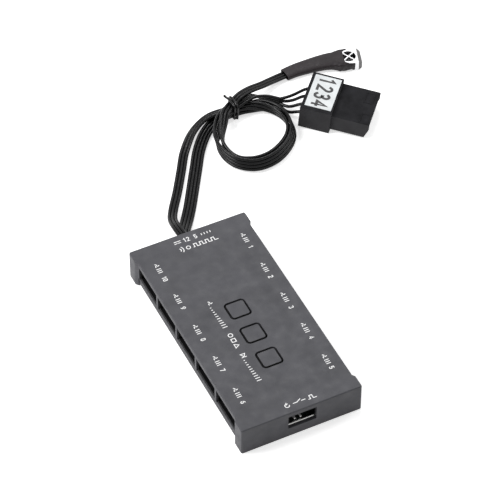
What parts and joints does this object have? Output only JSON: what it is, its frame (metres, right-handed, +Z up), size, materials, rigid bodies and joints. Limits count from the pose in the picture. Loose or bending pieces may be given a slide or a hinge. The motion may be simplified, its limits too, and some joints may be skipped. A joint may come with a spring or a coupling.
{
  "type": "lighting control board",
  "caption": "Flat boxed hub with header ports along both sides, square press keys, a reset window, and two flat cables to a power plug and a remote receiver.",
  "frame": {"origin": "bottom centre of the boxed hub, on the surface it lies on", "axes": "+X across the box, +Y along it towards the cable end, +Z up"},
  "size_m": [0.1449, 0.1851, 0.0135],
  "materials": {
    "case_plastic": "fine matt texture, dark grey",
    "base_plastic": "fine matt texture, dark grey",
    "screw_steel": "plain",
    "board": "black solder resist",
    "header_plastic": "semi-gloss black",
    "contact_gold": "bright plating",
    "switch_metal": "pressed sheet",
    "plunger_plastic": "matt black",
    "chip_plastic": "matt black",
    "capacitor_can": "satin",
    "socket_plastic": "ivory",
    "grommet_rubber": "matt black",
    "wire_jacket": "soft sheen, black",
    "sleeve_shrink": "satin charcoal",
    "shield_tin": "bright tinned sheet",
    "lens_plastic": "glossy black",
    "plug_plastic": "semi-gloss black",
    "contact_tin": "tin plating",
    "sticker": "pale grey paper film",
    "tie": "black coated wire"
  },
  "bodies": {
    "case": {"case_lid": "case_plastic", "case_base": "base_plastic", "case_screws": "screw_steel", "circuit_board": "board", "side_header_1": "header_plastic", "side_header_2": "header_plastic", "side_header_3": "header_plastic", "side_header_4": "header_plastic", "side_header_5": "header_plastic", "side_header_6": "header_plastic", "side_header_7": "header_plastic", "side_header_8": "header_plastic", "side_header_9": "header_plastic", "side_header_10": "header_plastic", "header_pins": "contact_gold", "reset_header": "header_plastic", "reset_pins": "contact_gold", "far_switch": "switch_metal", "middle_switch": "switch_metal", "near_switch": "switch_metal", "controller_chip": "chip_plastic", "driver_chips": "chip_plastic", "voltage_regulator": "chip_plastic", "smoothing_capacitor": "capacitor_can", "cable_socket": "socket_plastic", "cable_grommet": "grommet_rubber", "power_ribbon": "wire_jacket", "receiver_ribbon": "wire_jacket", "power_wire_1": "wire_jacket", "power_wire_2": "wire_jacket", "power_wire_3": "wire_jacket", "power_wire_4": "wire_jacket", "shrink_sleeve": "sleeve_shrink", "receiver_shield": "shield_tin", "receiver_lens": "lens_plastic", "plug_housing": "plug_plastic", "plug_pins": "contact_tin", "plug_sticker": "sticker", "wire_tie": "tie"},
    "far_key_group": {"far_key": "case_plastic", "far_plunger": "plunger_plastic"},
    "middle_key_group": {"middle_key": "case_plastic", "middle_plunger": "plunger_plastic"},
    "near_key_group": {"near_key": "case_plastic", "near_plunger": "plunger_plastic"}
  },
  "joints": [
    {"name": "far_key_press", "type": "slide", "parent": "case", "child": "far_key_group", "axis": [0, 0, -1], "range_m": [0, 0.0003], "stiffness_N_per_m": 800},
    {"name": "middle_key_press", "type": "slide", "parent": "case", "child": "middle_key_group", "axis": [0, 0, -1], "range_m": [0, 0.0003], "stiffness_N_per_m": 800},
    {"name": "near_key_press", "type": "slide", "parent": "case", "child": "near_key_group", "axis": [0, 0, -1], "range_m": [0, 0.0003], "stiffness_N_per_m": 800}
  ]
}
